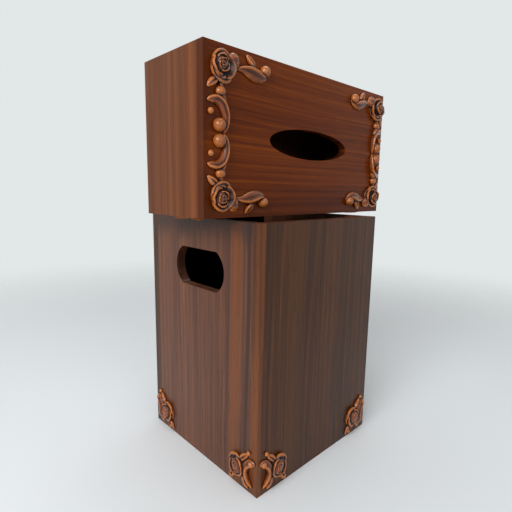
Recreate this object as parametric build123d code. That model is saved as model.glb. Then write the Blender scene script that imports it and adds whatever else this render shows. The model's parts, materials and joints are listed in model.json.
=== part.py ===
from build123d import *
from math import cos, pi, radians, sin, sqrt
import os

# A carved rosewood desk set: a tissue box that lies on its long side on top of a square waste bin.
# Millimetres, +Z up. The origin is the middle of the bin's underside; -Y is the bin's front.
# The tissue box's slot looks to -Y, and its sliding base panel faces +Y.

# ---------------------------------------------------------------- driving sizes: waste bin
bin_side = 175.0            # outside, square in plan
bin_height = 250.0
bin_wall = 10.0
bin_base_thickness = 10.0
bin_edge_round = 2.5        # upright corners, outside
bin_rim_round = 3.0         # both edges of the rim
hand_hole_width = 79.0      # along the wall, over the two bulged ends
hand_hole_height = 39.0
hand_hole_bulge = 11.5      # how far each end bows out past its corners
hand_hole_drop = 50.0       # from the rim to the middle of the hole
hand_hole_bevel = 1.6       # eased lip, outside and inside

# ---------------------------------------------------------------- driving sizes: tissue box
box_length = 260.0          # along X
box_width = 134.0           # upright here, because the box lies on its side
box_depth = 88.0            # from the slot face to the base, along Y
box_shift_x = 5.0           # the box's middle from the bin's middle
box_shift_y = -16.5
slot_board_thickness = 8.0
box_wall = 9.0
slot_length = 116.0
slot_width = 28.0
slot_lip_bevel = 1.6        # eased lip, on both faces
slot_edge_round = 4.5       # round the slot board's face
box_corner_round = 2.2      # the box's four edges along Y
box_rim_round = 1.2         # round the base rim
panel_thickness = 5.0
panel_setback = 3.0         # from the box's base rim to the panel's outer face
groove_depth = 4.0
panel_clearance = 0.3       # all round the panel in its grooves
thumb_notch_length = 34.0
thumb_notch_width = 12.0
thumb_notch_depth = 2.0
thumb_notch_inset = 16.0    # from the panel's free end to the middle of the notch

# ---------------------------------------------------------------- driving sizes: carved ornaments
slot_rose_radius = 13.0
slot_rose_height = 9.0
slot_rose_inset_long = 18.7     # rose's middle from the box's short edge
slot_rose_inset_wide = 17.0     # rose's middle from the box's long edge
slot_bead_radius = 5.4
slot_arm_bead_radius = 4.8
slot_arm_reach = 43.9           # from the rose's middle to the long arm's bead
slot_bead_gap = 1.2             # between the two beads that nearly meet at half width
slot_leaf_height = 5.5
foot_rose_radius = 11.2
foot_rose_height = 6.5
foot_rose_inset = 26.0          # rose's middle from the bin's upright edge
foot_rose_rise = 22.0           # rose's middle above the bin's underside
medium_bead_radius = 3.1
foot_leaf_height = 4.5
spray_height = 3.5              # flat carving between the box and the bin's rim
spray_rose_radius = 9.0
spray_inset = 28.0              # rose's middle from the end of the box
spray_rest = 4.5                # how far the long leaf reaches in past the bin's wall, to rest on it
small_bead_radius = 2.4
bead_rise = 0.45                # share of a bead's radius that its middle stands above the board
bead_latitudes = (-60.0, 5.0, 40.0, 68.0)  # degrees, from the bead's foot to its crown
bead_facets = 8
low_leaf_share = 0.7            # height of the lesser leaves beside the crescents
leaf_facets = 5                 # straight steps along each side of a leaf
petal_count = 5
petal_facets = 3                # straight steps round each petal
petal_notch = 0.16              # depth of the notch between petals, as a share of the radius
petal_lean = 0.86               # width of a ring's top as a share of its foot
bud_offset = 0.45               # how far the petals gather towards the corner, as a share of the radius
rose_rings = ((1.0, 0.5), (0.68, 0.78), (0.36, 1.0))  # shares of radius and height

# ---------------------------------------------------------------- places worked out from the sizes
half_bin = bin_side / 2
bin_inside = half_bin - bin_wall
box_left = box_shift_x - box_length / 2
box_right = box_shift_x + box_length / 2
box_front = box_shift_y - box_depth / 2
box_back = box_shift_y + box_depth / 2
box_under = bin_height + spray_height
box_top = box_under + box_width
box_middle_z = (box_under + box_top) / 2
wall_front = box_front + slot_board_thickness
panel_outer = box_back - panel_setback
panel_inner = panel_outer - panel_thickness
groove_low = panel_inner - panel_clearance
groove_high = panel_outer + panel_clearance
spray_reach = max(box_right, -box_left) - spray_inset - bin_inside + spray_rest  # to the leaf's tip


def block(low, high):
    """A plain box between two opposite corners."""
    size = [h - l for l, h in zip(low, high)]
    middle = [(h + l) / 2 for l, h in zip(low, high)]
    return Pos(*middle) * Box(*size)


def fuse(shapes):
    whole = shapes[0]
    for shape in shapes[1:]:
        whole = whole + shape
    return whole


def save(shape, name):
    export_step(shape, f"parts/{name}.step")


# ================================================================ waste bin
# The four walls are glued up, then their outside corners, the rim and the hand holes are rounded
# over together, so they are shaped as one sleeve here and cut into the four boards afterwards.


def barrel_outline(width, height, bulge):
    """A hand hole's outline: straight top and bottom, and ends that bow out."""
    corner_x = width / 2 - bulge
    corner_z = height / 2
    top = Line((-corner_x, corner_z), (corner_x, corner_z))
    right = ThreePointArc((corner_x, corner_z), (width / 2, 0), (corner_x, -corner_z))
    bottom = Line((corner_x, -corner_z), (-corner_x, -corner_z))
    left = ThreePointArc((-corner_x, -corner_z), (-width / 2, 0), (-corner_x, corner_z))
    return make_face([top, right, bottom, left])


def make_bin_sleeve():
    sleeve = block((-half_bin, -half_bin, 0), (half_bin, half_bin, bin_height))
    sleeve = fillet(sleeve.edges().filter_by(Axis.Z), bin_edge_round)
    inside = block((-bin_inside, -bin_inside, 0), (bin_inside, bin_inside, bin_height))
    sleeve = sleeve - inside
    sleeve = fillet(sleeve.edges().group_by(Axis.Z)[-1], bin_rim_round)
    hole_z = bin_height - hand_hole_drop
    outline = barrel_outline(hand_hole_width, hand_hole_height, hand_hole_bulge)
    cutter = extrude(Plane.YZ * outline, bin_side, both=True)
    sleeve = sleeve - Pos(0, 0, hole_z) * cutter
    reach_y = hand_hole_width / 2 + 1
    reach_z = hand_hole_height / 2 + 1

    def lip(edge):
        place = edge.center()
        on_side = abs(place.X) > bin_inside - 1
        return on_side and abs(place.Y) < reach_y and abs(place.Z - hole_z) < reach_z

    return chamfer(sleeve.edges().filter_by(lip), hand_hole_bevel)


def make_bin():
    sleeve = make_bin_sleeve()
    top = bin_height
    save(sleeve & block((-half_bin, -half_bin, 0), (half_bin, -bin_inside, top)), "bin_front_wall")
    save(sleeve & block((-half_bin, bin_inside, 0), (half_bin, half_bin, top)), "bin_back_wall")
    save(sleeve & block((-half_bin, -bin_inside, 0), (-bin_inside, bin_inside, top)), "bin_left_wall")
    save(sleeve & block((bin_inside, -bin_inside, 0), (half_bin, bin_inside, top)), "bin_right_wall")
    base = block((-bin_inside, -bin_inside, 0), (bin_inside, bin_inside, bin_base_thickness))
    save(base, "bin_base_board")


# ================================================================ tissue box
# The outside is one rounded block: the slot board's face has large soft edges, the four edges
# along Y are crisper. Each board is its share of that block.


def depth_profile(across):
    """The box cut through its depth: large soft corners at the slot face (y = 0), small at the base."""
    half = across / 2
    soft = slot_edge_round
    crisp = box_rim_round
    back = box_depth
    left_side = Line((-half, soft), (-half, back - crisp))
    left_rim = RadiusArc((-half, back - crisp), (-half + crisp, back), crisp)
    base = Line((-half + crisp, back), (half - crisp, back))
    right_rim = RadiusArc((half - crisp, back), (half, back - crisp), crisp)
    right_side = Line((half, back - crisp), (half, soft))
    right_front = RadiusArc((half, soft), (half - soft, 0), soft)
    front = Line((half - soft, 0), (-half + soft, 0))
    left_front = RadiusArc((-half + soft, 0), (-half, soft), soft)
    edges = [left_side, left_rim, base, right_rim, right_side, right_front, front, left_front]
    return make_face(edges)


def make_box_block():
    """The box's outside: what its outlines from the front, from above and from the end share."""
    face = RectangleRounded(box_length, box_width, box_corner_round)
    through_depth = extrude(Plane.XZ * face, -box_depth)
    through_width = extrude(depth_profile(box_length), box_width, both=True)
    through_length = Rot(0, 90, 0) * extrude(depth_profile(box_width), box_length, both=True)
    return Pos(box_shift_x, box_front, box_middle_z) * (through_depth & through_width & through_length)


def make_slot():
    """The oval hole through the slot board, which is at y = 0 here, with an eased lip on both faces."""
    oval = Ellipse(slot_length / 2, slot_width / 2)
    wide_oval = Ellipse(slot_length / 2 + slot_lip_bevel, slot_width / 2 + slot_lip_bevel)
    hole = extrude(oval, slot_board_thickness)
    outer_lip = loft([wide_oval.face(), Pos(0, 0, slot_lip_bevel) * oval.face()])
    inner_lip = Pos(0, 0, slot_board_thickness) * mirror(outer_lip, about=Plane.XY)
    into_board = Plane(origin=(box_shift_x, box_front, box_middle_z), x_dir=(1, 0, 0), z_dir=(0, 1, 0))
    return into_board * fuse([hole, outer_lip, inner_lip])


def make_groove_space():
    """The space that the panel's grooves take out of the walls, open at the right end."""
    low = (box_left + box_wall - groove_depth, groove_low, box_under + box_wall - groove_depth)
    high = (box_right + 1, groove_high, box_top - box_wall + groove_depth)
    return block(low, high)


def make_panel():
    low_z = box_under + box_wall - groove_depth + panel_clearance
    high_z = box_top - box_wall + groove_depth - panel_clearance
    start_x = box_left + box_wall - groove_depth + panel_clearance
    panel = block((start_x, panel_inner, low_z), (box_right, panel_outer, high_z))
    notch = SlotOverall(thumb_notch_length, thumb_notch_width)
    notch = extrude(Plane.XZ * Rot(0, 0, 90) * notch, thumb_notch_depth, both=True)
    return panel - Pos(box_right - thumb_notch_inset, panel_outer, box_middle_z) * notch


def make_box():
    shell = make_box_block()
    groove = make_groove_space()
    front = block((box_left, box_front, box_under), (box_right, wall_front, box_top))
    save((shell & front) - make_slot(), "slot_board")
    inner_left = box_left + box_wall
    inner_right = box_right - box_wall
    inner_low = box_under + box_wall
    inner_high = box_top - box_wall
    left_end = block((box_left, wall_front, box_under), (inner_left, box_back, box_top))
    save((shell & left_end) - groove, "box_left_end")
    lower_side = block((inner_left, wall_front, box_under), (box_right, box_back, inner_low))
    save((shell & lower_side) - groove, "box_lower_side")
    upper_side = block((inner_left, wall_front, inner_high), (box_right, box_back, box_top))
    save((shell & upper_side) - groove, "box_upper_side")
    right_end = block((inner_right, wall_front, inner_low), (box_right, groove_low, inner_high))
    save(right_end, "box_right_end")
    save(make_panel(), "box_base_panel")


# ================================================================ carved ornaments
# Each ornament is one carved piece glued to its board. It is drawn flat, with its rose's middle at
# the origin: x runs along one edge of the board, y along the other, z is the height of the relief.


def facet_solid(facets):
    """A solid closed by flat facets, each given by its corners."""
    return Solid(Shell([Face(Wire.make_polygon(facet)) for facet in facets]))


def facet_stack(rings):
    """A solid through closed rings of equally many corners, with a flat facet between each two sides."""
    facets = [rings[0], rings[-1]]
    for low, high in zip(rings, rings[1:]):
        for near in range(len(low)):
            far = (near + 1) % len(low)
            facets.append([low[near], low[far], high[far], high[near]])
    return facet_solid(facets)


def rose_ring(radius, height, turn):
    """One ring of petals as a lobed disc whose side leans in; turn is in petals."""
    foot = []
    top = []
    for step in range(petal_count * petal_facets):
        angle = 2 * pi * (step / petal_facets + turn) / petal_count
        reach = radius * (1 - petal_notch + petal_notch * abs(sin(pi * step / petal_facets)))
        foot.append((reach * cos(angle), reach * sin(angle), 0))
        top.append((petal_lean * reach * cos(angle), petal_lean * reach * sin(angle), height))
    return facet_stack([foot, top])


def rose(radius, height):
    """An open rose: rings of petals, each smaller, higher and half a petal on, round an off-centre bud."""
    rings = []
    for order, (reach, rise) in enumerate(rose_rings):
        shift = Pos(-bud_offset * radius * (1 - reach), 0, 0)
        rings.append(shift * rose_ring(radius * reach, height * rise, order / 2))
    return fuse(rings)


def bead(x, y, radius):
    """A ball let into the board a little, so that it stands most of its width proud."""
    middle = radius * bead_rise
    rings = []
    for latitude in bead_latitudes:
        height = max(middle + radius * sin(radians(latitude)), 0)
        reach = sqrt(radius**2 - (height - middle) ** 2)
        ring = []
        for step in range(bead_facets):
            angle = 2 * pi * step / bead_facets
            ring.append((x + reach * cos(angle), y + reach * sin(angle), height))
        rings.append(ring)
    return facet_stack(rings)


def leaf(start, outer, tip, inner, height):
    """A leaf or crescent between two arcs from start to tip, rising to a ridge down its middle."""
    steps = [step / leaf_facets for step in range(1, leaf_facets)]
    left = [ThreePointArc(start, outer, tip) @ step for step in steps]
    right = [ThreePointArc(start, inner, tip) @ step for step in steps]
    ridge = []
    for step, one, other in zip(steps, left, right):
        ridge.append((one + other) / 2 + Vector(0, 0, height * sqrt(sin(pi * step))))
    facets = [[start, *left, tip, *reversed(right)]]
    for rim in (left, right):
        facets.append([start, rim[0], ridge[0]])
        for near in range(leaf_facets - 2):
            far = near + 1
            facets.append([rim[near], rim[far], ridge[far]])
            facets.append([rim[near], ridge[far], ridge[near]])
        facets.append([rim[-1], tip, ridge[-1]])
    return facet_solid(facets)


def flat_leaf(start, outer, tip, inner, height):
    """The same outline with upright sides and a flat top, for a carving that is stood on."""
    first = ThreePointArc(start, outer, tip)
    second = ThreePointArc(tip, inner, start)
    points = [side @ (step / leaf_facets) for side in (first, second) for step in range(leaf_facets)]
    return extrude(make_face(Polyline(*points, close=True)).face(), height, dir=(0, 0, 1))


def make_slot_ornament():
    """The slot face's lower left corner: the rose, a scroll along the length and one upwards."""
    tall = slot_leaf_height
    low = slot_leaf_height * low_leaf_share
    # the scroll along the length: a stalk, a crescent over a bead, and a leaf towards the edge
    stalk = leaf((9, 6), (16, 3.2), (23, 1.5), (15, -1.5), low)
    crescent = leaf((17, -4), (33, 8), (slot_arm_reach + 6, -4), (32, 0), tall)
    edge_leaf = leaf((29, 2), (29, -7), (24, -14), (23.5, -5), low)
    arm_bead = bead(slot_arm_reach, -4.4, slot_arm_bead_radius)
    # the scroll across the width: a bud on its stalk, a broad crescent that wraps a bead, a knob in it
    bead_y = box_width / 2 - slot_bead_gap / 2 - slot_bead_radius - slot_rose_inset_wide
    bud_stalk = leaf((-1, 8), (5, 18), (-3, 33.5), (-3.5, 19), low)
    bud = bead(-4.2, 20, medium_bead_radius)
    upper_crescent = leaf((-16, 28), (1, 33.5), (1, bead_y + 6), (-6, 38), tall)
    wide_bead = bead(-4.9, bead_y, slot_bead_radius)
    knob = bead(-11.8, 34.3, small_bead_radius)
    # two small leaves beside the rose
    side_leaf = leaf((-4, 9), (-8, 16), (-13.5, 16.5), (-12, 8), low)
    corner_leaf = leaf((8, -3), (14, -4), (16.5, -10.5), (8, -10), low)
    parts = [rose(slot_rose_radius, slot_rose_height), stalk, crescent, edge_leaf, arm_bead, bud_stalk]
    parts += [bud, upper_crescent, wide_bead, knob, side_leaf, corner_leaf]
    return fuse(parts)


def make_foot_ornament():
    """The bin front's lower left corner: the rose and a C-shaped leaf that opens to the edge."""
    tall = foot_leaf_height
    low = foot_leaf_height * low_leaf_share
    crescent = leaf((-23, 13), (-8, 1), (-21.5, -13.5), (-15, 0), tall)
    curl = bead(-19.5, 9.5, medium_bead_radius)
    lobe = leaf((-20, -13), (-13, -16), (-9, -7), (-16, -7), low)
    lower_leaf = leaf((2, -6), (9, -10), (9, -18), (2, -13), low)
    lower_bead = bead(7, -16.5, medium_bead_radius)
    upper_leaf = leaf((-3, 6), (-7, 15), (-15, 20), (-11, 11), low)
    upper_bead = bead(-14.5, 17.5, small_bead_radius)
    parts = [rose(foot_rose_radius, foot_rose_height), crescent, curl, lobe]
    parts += [lower_leaf, lower_bead, upper_leaf, upper_bead]
    return fuse(parts)


def make_spray():
    """A flat carving on a long side: the rose, one long leaf and two leaves towards the end."""
    belly = (3 + spray_reach) / 2
    long_leaf = flat_leaf((3, 0), (belly, 7), (spray_reach, 0), (belly, -7), spray_height)
    first_leaf = flat_leaf((-2, -3), (-12, -13), (-24, -8), (-13, -3), spray_height)
    second_leaf = flat_leaf((-2, 2), (-7, 18), (-25, 24), (-19, 10), spray_height)
    side_leaf = flat_leaf((2, -4), (12, -10), (22, -17), (8, -15), spray_height)
    centre = rose(spray_rose_radius, spray_height)
    return fuse([centre, long_leaf, first_leaf, second_leaf, side_leaf])


def save_slot_ornaments():
    face = Plane(origin=(0, box_front, 0), x_dir=(1, 0, 0), z_dir=(0, -1, 0))
    place = Pos(box_left + slot_rose_inset_long, box_under + slot_rose_inset_wide, 0)
    lower_left = face * place * make_slot_ornament()
    across = Plane(origin=(box_shift_x, 0, 0), z_dir=(1, 0, 0))
    over = Plane(origin=(0, 0, box_middle_z), z_dir=(0, 0, 1))
    lower_right = mirror(lower_left, about=across)
    save(lower_left, "slot_ornament_lower_left")
    save(lower_right, "slot_ornament_lower_right")
    save(mirror(lower_left, about=over), "slot_ornament_upper_left")
    save(mirror(lower_right, about=over), "slot_ornament_upper_right")


def save_sprays():
    face = Plane(origin=(0, 0, box_under), x_dir=(1, 0, 0), z_dir=(0, 0, -1))
    place = Pos(box_left + spray_inset, -box_shift_y, 0)
    lower_left = face * place * make_spray()
    across = Plane(origin=(box_shift_x, 0, 0), z_dir=(1, 0, 0))
    over = Plane(origin=(0, 0, box_middle_z), z_dir=(0, 0, 1))
    lower_right = mirror(lower_left, about=across)
    save(lower_left, "spray_lower_left")
    save(lower_right, "spray_lower_right")
    save(mirror(lower_left, about=over), "spray_upper_left")
    save(mirror(lower_right, about=over), "spray_upper_right")


def save_foot_ornaments():
    """Eight alike: each lower corner of the bin has one on each of its two faces."""
    face = Plane(origin=(0, -half_bin, 0), x_dir=(1, 0, 0), z_dir=(0, -1, 0))
    on_front = face * Pos(foot_rose_inset - half_bin, foot_rose_rise, 0) * make_foot_ornament()
    corner = Plane(origin=(-half_bin, -half_bin, 0), z_dir=(1, -1, 0))
    on_left = mirror(on_front, about=corner)
    for shape, wall, end in ((on_front, "front", "left"), (on_left, "left", "front")):
        far = {"front": "back", "left": "right", "back": "front", "right": "left"}
        over_x = mirror(shape, about=Plane.YZ)
        over_y = mirror(shape, about=Plane.XZ)
        over_both = mirror(over_x, about=Plane.XZ)
        save(shape, f"foot_ornament_{wall}_{end}")
        if wall == "front":
            save(over_x, f"foot_ornament_{wall}_{far[end]}")
            save(over_y, f"foot_ornament_{far[wall]}_{end}")
        else:
            save(over_x, f"foot_ornament_{far[wall]}_{end}")
            save(over_y, f"foot_ornament_{wall}_{far[end]}")
        save(over_both, f"foot_ornament_{far[wall]}_{far[end]}")


os.makedirs("parts", exist_ok=True)
make_bin()
make_box()
save_slot_ornaments()
save_sprays()
save_foot_ornaments()
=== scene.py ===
# A carved rosewood desk set: a tissue box that lies on its long side on top of a square waste bin.
# The sections follow the set as it is put together, from the bin's boards to the carving.
import json
import math

import bmesh
import bpy
import numpy as np
from mathutils import Matrix, Vector


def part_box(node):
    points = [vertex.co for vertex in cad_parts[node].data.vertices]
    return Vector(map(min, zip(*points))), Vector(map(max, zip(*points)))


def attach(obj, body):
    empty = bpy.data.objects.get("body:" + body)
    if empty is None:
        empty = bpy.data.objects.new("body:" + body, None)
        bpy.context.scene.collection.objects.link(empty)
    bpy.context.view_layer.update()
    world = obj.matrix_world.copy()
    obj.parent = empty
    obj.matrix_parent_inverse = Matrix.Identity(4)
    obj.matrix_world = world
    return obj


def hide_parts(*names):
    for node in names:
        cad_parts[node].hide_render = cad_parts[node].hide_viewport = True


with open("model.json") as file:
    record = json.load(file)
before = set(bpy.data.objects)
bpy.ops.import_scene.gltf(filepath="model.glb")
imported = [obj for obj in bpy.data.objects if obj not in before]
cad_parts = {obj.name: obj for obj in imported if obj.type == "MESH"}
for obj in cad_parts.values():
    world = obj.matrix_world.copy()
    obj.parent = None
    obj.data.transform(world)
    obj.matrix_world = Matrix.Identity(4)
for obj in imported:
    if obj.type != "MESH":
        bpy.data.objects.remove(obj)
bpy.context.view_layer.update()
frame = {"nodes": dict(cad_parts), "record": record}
openings = {entry["name"]: entry["box_m"] for entry in frame["record"]["physics"]["openings"]}

# ---------------------------------------------------------------- the waste bin's four walls
# Boards of solid rosewood, 10 mm, glued into a sleeve: front and back run full width and hide the
# side walls' ends. Rim, upright corners and the two hand holes are rounded over after the glue-up,
# then stained dark and varnished to a gloss. The grain stands upright.

mm = 0.001
largest_round = 4.5 * mm        # the softest edge on the set; the others are weighted against it
joint_bevel = 0.25 * mm         # the fine line where two boards meet
round_steps = 5
same_place = 1e-7               # points no further apart than this count as one
bin_low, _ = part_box("bin_front_wall")
_, bin_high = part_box("bin_back_wall")
half_bin = bin_high.x
bin_inside = -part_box("bin_left_wall")[1].x
rim_round = 3.0 * mm
upright_round = 2.5 * mm
foot_round = 0.6 * mm
hole_lip = 2.2 * mm
hole_low, hole_high = (Vector(corner) for corner in openings["hand_hole_left"])
hole_middle = (hole_low.z + hole_high.z) / 2
hole_half_length = 39.5 * mm
hole_half_height = 19.5 * mm
hole_bulge = 11.5 * mm
arc_steps = 14
# how fine each figure of the wood is, in noise steps per metre: twice across the grain, then along it
waver_scale = (8, 8, 5)
line_scale = (260, 260, 1.5)
figure_scale = (26, 26, 1.2)
fibre_scale = (1100, 1100, 18)
pore_scale = (1700, 1700, 40)
patch_scale = (90, 90, 40)
waver_reach = 10 * mm


def new_material(name, **fixed):
    """A material with a plain shader whose fixed numbers are set on its own sockets."""
    made = bpy.data.materials.new(name)
    made.use_nodes = True
    shader = made.node_tree.nodes["Principled BSDF"]
    for socket, value in fixed.items():
        shader.inputs[socket.replace("_", " ")].default_value = value
    return made, made.node_tree, shader


def math_node(tree, operation, *values):
    """One sum; each value is a number or another node's output."""
    node = tree.nodes.new("ShaderNodeMath")
    node.operation = operation
    for socket, value in zip(node.inputs, values):
        if isinstance(value, (int, float)):
            socket.default_value = value
        else:
            tree.links.new(value, socket)
    return node.outputs[0]


def scaled_point(tree, point, scale, shift=(0, 0, 0)):
    node = tree.nodes.new("ShaderNodeMapping")
    node.inputs["Scale"].default_value = scale
    node.inputs["Location"].default_value = shift
    tree.links.new(point, node.inputs["Vector"])
    return node.outputs[0]


def noise_at(tree, point, detail, roughness, distortion=0.0):
    node = tree.nodes.new("ShaderNodeTexNoise")
    node.inputs["Scale"].default_value = 1.0
    node.inputs["Detail"].default_value = detail
    node.inputs["Roughness"].default_value = roughness
    node.inputs["Distortion"].default_value = distortion
    tree.links.new(point, node.inputs["Vector"])
    return node.outputs["Fac"]


def between(tree, value, low, high, new_low=0.0, new_high=1.0):
    node = tree.nodes.new("ShaderNodeMapRange")
    node.interpolation_type = "SMOOTHSTEP"
    tree.links.new(value, node.inputs["Value"])
    for socket, number in zip(("From Min", "From Max", "To Min", "To Max"), (low, high, new_low, new_high)):
        node.inputs[socket].default_value = number
    return node.outputs["Result"]


def colour_ramp(tree, value, stops):
    node = tree.nodes.new("ShaderNodeValToRGB")
    ramp = node.color_ramp
    while len(ramp.elements) < len(stops):
        ramp.elements.new(1.0)
    for element, (place, colour) in zip(ramp.elements, stops):
        element.position = place
        element.color = (*colour, 1)
    tree.links.new(value, node.inputs["Fac"])
    return node.outputs["Color"]


def mixed_colour(tree, share, first, second, blend="MIX"):
    node = tree.nodes.new("ShaderNodeMix")
    node.data_type = "RGBA"
    node.blend_type = blend
    for socket, value in ((node.inputs[0], share), (node.inputs[6], first), (node.inputs[7], second)):
        if isinstance(value, (int, float)):
            socket.default_value = value
        elif isinstance(value, tuple):
            socket.default_value = (*value, 1)
        else:
            tree.links.new(value, socket)
    return node.outputs[2]


def srgb(red, green, blue):
    """A colour as a paint chart gives it, 0 to 255, made linear."""
    shares = (red / 255, green / 255, blue / 255)
    return tuple(c / 12.92 if c <= 0.04045 else ((c + 0.055) / 1.055) ** 2.4 for c in shares)


def rosewood(name, along, seed, tones, streaks=(), gloss=0.2):
    """Varnished rosewood, its grain along one axis. tones go from dark to pale; streaks are stripes of other
    heartwood or of painted shade, each an axis, a place, a half width and a colour."""
    made, tree, shader = new_material(name, Coat_Roughness=0.1, Specular_IOR_Level=gloss)
    coords = tree.nodes.new("ShaderNodeTexCoord")
    split = tree.nodes.new("ShaderNodeSeparateXYZ")
    tree.links.new(coords.outputs["Object"], split.inputs[0])
    across = [axis for axis in "XYZ" if axis != along]
    straight = tree.nodes.new("ShaderNodeCombineXYZ")
    for socket, axis in zip(straight.inputs, (*across, along)):
        tree.links.new(split.outputs[axis], socket)
    # the grain wavers a little as it runs
    waver = noise_at(tree, scaled_point(tree, straight.outputs[0], waver_scale, (seed, 0, 0)), 1.0, 0.4)
    waver = math_node(tree, "MULTIPLY_ADD", waver, waver_reach, -waver_reach / 2)
    grain = tree.nodes.new("ShaderNodeCombineXYZ")
    wavered = {axis: math_node(tree, "ADD", split.outputs[axis], waver) for axis in across}
    for socket, axis in zip(grain.inputs, across):
        tree.links.new(wavered[axis], socket)
    tree.links.new(split.outputs[along], grain.inputs[2])
    point = grain.outputs[0]
    line = noise_at(tree, scaled_point(tree, point, line_scale, (0, seed, 0)), 4.0, 0.6)
    broad = noise_at(tree, scaled_point(tree, point, figure_scale, (0, 0, seed)), 2.0, 0.5)
    fibre = noise_at(tree, scaled_point(tree, point, fibre_scale, (seed, seed, 0)), 2.0, 0.6)
    tone = math_node(tree, "MULTIPLY_ADD", line, 1.5, -0.75)
    tone = math_node(tree, "MULTIPLY_ADD", broad, 0.6, tone)
    tone = math_node(tree, "MULTIPLY_ADD", fibre, 0.4, tone)
    colour = colour_ramp(tree, tone, tuple(zip((0.15, 0.5, 0.85), tones)))
    wavered[along] = math_node(tree, "MULTIPLY_ADD", broad, 0.04, split.outputs[along])
    for axis, place, half_width, streak_colour in streaks:
        away = math_node(tree, "ABSOLUTE", math_node(tree, "SUBTRACT", wavered[axis], place * mm))
        share = between(tree, away, half_width * 0.3 * mm, half_width * 1.4 * mm, 0.85, 0.0)
        share = math_node(tree, "MULTIPLY", share, between(tree, tone, 0.2, 0.7, 0.6, 1.0))
        colour = mixed_colour(tree, share, colour, streak_colour)
    # open pores: short dark dashes along the grain
    pore = noise_at(tree, scaled_point(tree, point, pore_scale, (0, seed, seed)), 1.0, 0.4)
    pore = between(tree, pore, 0.62, 0.72)
    colour = mixed_colour(tree, math_node(tree, "MULTIPLY", pore, 0.5), colour, tones[0])
    # the stain is thin and the wood rubbed paler on the rounded edges, and the paler colour there is also a
    # painted highlight
    wear_sheen_and_shade = tree.nodes.new("ShaderNodeAttribute")
    wear_sheen_and_shade.attribute_name = "wear_sheen_and_shade"
    patchy = noise_at(tree, scaled_point(tree, point, patch_scale, (seed, 0, seed)), 3.0, 0.6)
    wear_and_sheen = math_node(tree, "MAXIMUM", wear_sheen_and_shade.outputs["Fac"], 0.0)
    wear_and_sheen = math_node(tree, "MULTIPLY", wear_and_sheen, between(tree, patchy, 0.35, 0.65, 0.25, 0.85))
    colour = mixed_colour(tree, wear_and_sheen, colour, worn_and_sheen_edge)
    # rounded edges are polished by hands
    tree.links.new(between(tree, wear_sheen_and_shade.outputs["Fac"], 0.05, 0.6, 0.06, 0.6), shader.inputs["Coat Weight"])
    # stain gathers in the joints, and the insides of the holes get the same dark colour as painted shade
    joint_and_hole_darkening = math_node(tree, "MAXIMUM", math_node(tree, "MULTIPLY", wear_sheen_and_shade.outputs["Fac"], -0.85), 0.0)
    colour = mixed_colour(tree, joint_and_hole_darkening, colour, joint_stain_and_hole_shade)
    tree.links.new(colour, shader.inputs["Base Color"])
    tree.links.new(between(tree, fibre, 0.3, 0.7, 0.27, 0.38), shader.inputs["Roughness"])
    relief = math_node(tree, "MULTIPLY_ADD", pore, -0.6, math_node(tree, "MULTIPLY", fibre, 0.5))
    bump = tree.nodes.new("ShaderNodeBump")
    bump.inputs["Strength"].default_value = 0.2
    bump.inputs["Distance"].default_value = 0.12 * mm
    tree.links.new(relief, bump.inputs["Height"])
    tree.links.new(bump.outputs[0], shader.inputs["Normal"])
    return made


def plain_copy(piece):
    """The piece with its modifiers turned into plain mesh."""
    scene_now = bpy.context.evaluated_depsgraph_get()
    mesh = bpy.data.meshes.new_from_object(piece.evaluated_get(scene_now))
    piece.modifiers.clear()
    piece.data = mesh
    return piece


def mark_wear_sheen_and_shade(mesh):
    """Gives the rounded edges a mark of up to 1 for wear and painted highlight, fine joint lines -1 for
    joint stain and the insides of holes -0.7 for painted shade.
    """
    wear_sheen_and_shade = mesh.attributes.new("wear_sheen_and_shade", "FLOAT", "CORNER")
    spread = list(zip(*(vertex.co for vertex in mesh.vertices)))
    lows = [min(places) for places in spread]
    highs = [max(places) for places in spread]
    thin = min(range(3), key=lambda axis: highs[axis] - lows[axis])
    for face in mesh.polygons:
        if max(abs(part) for part in face.normal) > 0.9999:
            continue
        if abs(face.normal[thin]) < 0.02:
            within = zip(lows, highs, face.center)
            inside = all(low + hole_lip < part < high - hole_lip for low, high, part in within)
            # the insides of holes are marked for painted shade
            for corner in face.loop_indices if inside else ():
                wear_sheen_and_shade.data[corner].value = -0.7
            continue
        places = [mesh.vertices[corner].co for corner in face.vertices]
        narrow = min((one - other).length for one, other in zip(places, places[1:])) < joint_bevel / 2
        for corner in face.loop_indices:
            normal = mesh.vertices[mesh.loops[corner].vertex_index].normal
            turned = 1.0 - max(abs(part) for part in normal)
            wear_sheen_and_shade.data[corner].value = -1 if narrow else min(1.0, 4.0 * turned)


def new_piece(name, shape):
    """An object from a bmesh, with its faces turned outwards."""
    bmesh.ops.recalc_face_normals(shape, faces=shape.faces)
    mesh = bpy.data.meshes.new(name)
    shape.to_mesh(mesh)
    shape.free()
    piece = bpy.data.objects.new(name, mesh)
    bpy.context.collection.objects.link(piece)
    return piece


def rounded_piece(name, shape, radii):
    """Rounds a board's edges. radii has pairs of a radius and a test of the edge's two ends."""
    weight = shape.edges.layers.float.new("bevel_weight_edge")
    for edge in shape.edges:
        ends = [vertex.co for vertex in edge.verts]
        flat = len(edge.link_faces) == 2 and edge.calc_face_angle(0) < 0.02
        radius = 0 if flat else joint_bevel
        for wanted, test in radii:
            if not flat and test(*ends):
                radius = wanted
        edge[weight] = radius / largest_round
    piece = new_piece(name, shape)
    bevel = piece.modifiers.new("round", "BEVEL")
    bevel.width = largest_round
    bevel.segments = round_steps
    bevel.limit_method = "WEIGHT"
    bevel.use_clamp_overlap = False
    return plain_copy(piece)


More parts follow.
